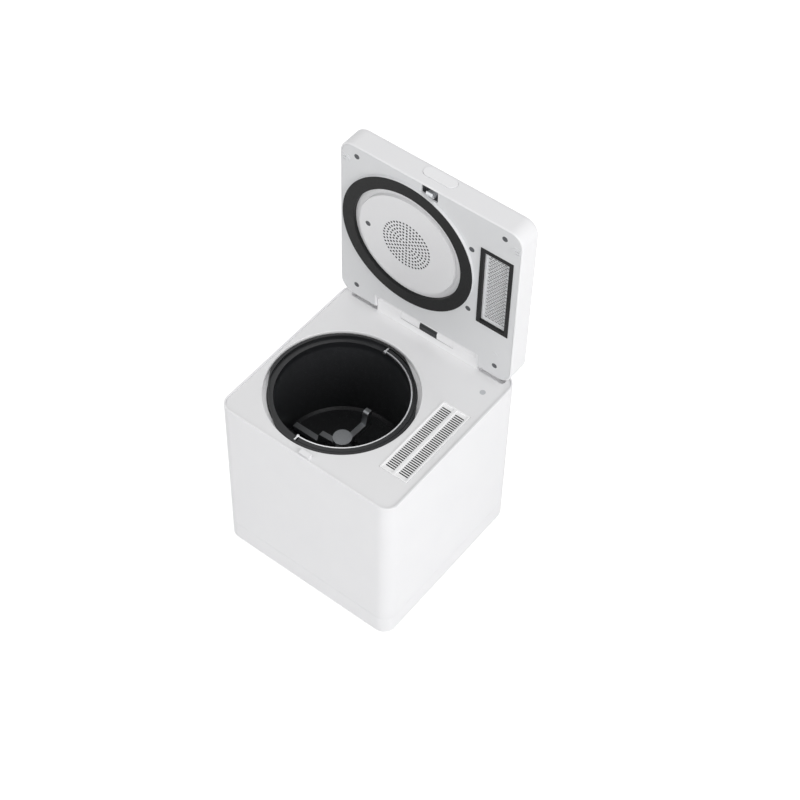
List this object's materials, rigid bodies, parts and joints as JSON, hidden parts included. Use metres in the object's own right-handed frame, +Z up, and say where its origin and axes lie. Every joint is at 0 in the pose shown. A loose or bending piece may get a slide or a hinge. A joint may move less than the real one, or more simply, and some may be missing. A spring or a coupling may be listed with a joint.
{
  "type": "electric food waste composter",
  "caption": "White cube-shaped countertop food waste composter with flip-open lid, stirred and heated lift-out bucket, bail handle and charcoal air filter.",
  "frame": {"origin": "middle of the footprint on the worktop", "axes": "+Z up, -Y the front with the release button, +X to the right of someone facing the front"},
  "size_m": [0.3, 0.3091, 0.6094],
  "materials": {
    "casing_white": "satin white moulded ABS",
    "deck_white": "fine matt white",
    "panel_white": "fine matt pale grey-white",
    "inner_plastic": "plain moulded",
    "black_plastic": "fine matt black",
    "grey_plastic": "matt dark grey",
    "black_rubber": "matt black silicone",
    "foam": "open-cell black foam",
    "charcoal": "granular charcoal",
    "insulation": "fibre blanket",
    "touch_glass": "black printed glass",
    "board": "green circuit board with parts",
    "steel": "plain bright steel",
    "bronze": "sintered bronze",
    "aluminium": "plain drawn aluminium",
    "nonstick_aluminium": "dark non-stick coating"
  },
  "bodies": {
    "base": {"outer_casing": "casing_white", "base_tray": "casing_white", "rubber_feet": "black_rubber", "base_screws": "steel", "deck_panel": "deck_white", "lid_sensor": "black_plastic", "latch_striker": "deck_white", "well_liner": "aluminium", "heater_ring": "aluminium", "insulation_jacket": "insulation", "shaft_seal": "black_rubber", "gearbox_housing": "inner_plastic", "gearbox_cover": "inner_plastic", "gearbox_bushes": "bronze", "motor": "steel", "filter_housing": "inner_plastic", "blower_housing": "inner_plastic", "fan_motor": "steel", "exhaust_duct": "inner_plastic", "exhaust_grille": "casing_white", "power_board": "board", "mains_inlet": "black_plastic", "inlet_pins": "steel", "hinge_housing": "casing_white", "hinge_pins": "steel", "cable_drum": "black_plastic"},
    "bucket": {"bucket": "nonstick_aluminium", "bucket_collar": "black_plastic", "bail_pins": "steel", "agitator_bush": "grey_plastic"},
    "bail": {"bail_strip": "steel", "bail_grip": "black_plastic"},
    "agitator": {"agitator": "nonstick_aluminium", "agitator_coupling": "nonstick_aluminium"},
    "drive": {"drive_shaft": "steel"},
    "idler": {"idler_gear": "inner_plastic"},
    "pinion": {"motor_pinion": "steel"},
    "fan": {"fan_impeller": "inner_plastic"},
    "filter_pack": {"grille_cover": "deck_white", "filter_foam": "foam", "filter_cartridge": "inner_plastic", "charcoal_bed": "charcoal"},
    "lid": {"lid_shell": "casing_white", "inner_panel": "panel_white", "vent_disc": "panel_white", "round_gasket": "black_rubber", "window_gasket": "black_rubber", "window_mesh": "panel_white", "screw_plugs": "grey_plastic", "lid_screws": "steel", "lid_magnet": "steel", "air_channel": "inner_plastic", "touch_panel": "touch_glass", "latch_housing": "panel_white", "hook_pin": "steel", "lid_knuckle": "casing_white"},
    "button": {"release_button": "casing_white"},
    "hook": {"latch_hook": "panel_white", "hook_spring": "steel"}
  },
  "joints": [
    {"name": "lid_hinge", "type": "hinge", "parent": "base", "child": "lid", "pos_m": [0.0022, 0.1402, 0.3221], "axis": [-1, 0, 0], "range_deg": [-90, 0]},
    {"name": "button_push", "type": "slide", "parent": "lid", "child": "button", "axis": [0, 0, -1], "range_m": [0, 0.0015], "stiffness_N_per_m": 400, "springref_m": -0.002},
    {"name": "hook_swing", "type": "hinge", "parent": "lid", "child": "hook", "pos_m": [0.0015, 0.1565, 0.5945], "axis": [1, 0, 0], "range_deg": [0, 5.4]},
    {"name": "bucket_lift", "type": "slide", "parent": "base", "child": "bucket", "axis": [0, 0, 1], "range_m": [0, 0.16]},
    {"name": "bail_swing", "type": "hinge", "parent": "bucket", "child": "bail", "pos_m": [-0.032, -0.02, 0.299], "axis": [0, -1, 0], "range_deg": [0, 90]},
    {"name": "agitator_spin", "type": "hinge", "parent": "bucket", "child": "agitator", "pos_m": [-0.032, -0.02, 0.17], "axis": [0, 0, 1], "continuous": true},
    {"name": "drive_spin", "type": "hinge", "parent": "base", "child": "drive", "pos_m": [-0.032, -0.02, 0.12], "axis": [0, 0, 1], "continuous": true},
    {"name": "idler_spin", "type": "hinge", "parent": "base", "child": "idler", "pos_m": [0.01, -0.02, 0.12], "axis": [0, 0, 1], "continuous": true},
    {"name": "pinion_spin", "type": "hinge", "parent": "base", "child": "pinion", "pos_m": [0.028, -0.05118, 0.12], "axis": [0, 0, 1], "continuous": true},
    {"name": "fan_spin", "type": "hinge", "parent": "base", "child": "fan", "pos_m": [0.1122, 0.002, 0.15], "axis": [0, 0, 1], "continuous": true},
    {"name": "filter_lift", "type": "slide", "parent": "base", "child": "filter_pack", "axis": [0, 0, 1], "range_m": [0, 0.13]}
  ],
  "couplings": [
    {"joint": "agitator_spin", "follows": "drive_spin", "ratio": 1},
    {"joint": "idler_spin", "follows": "drive_spin", "ratio": -3.6667},
    {"joint": "pinion_spin", "follows": "drive_spin", "ratio": 11},
    {"joint": "hook_swing", "follows": "button_push", "rad_per_m": 62.5}
  ]
}
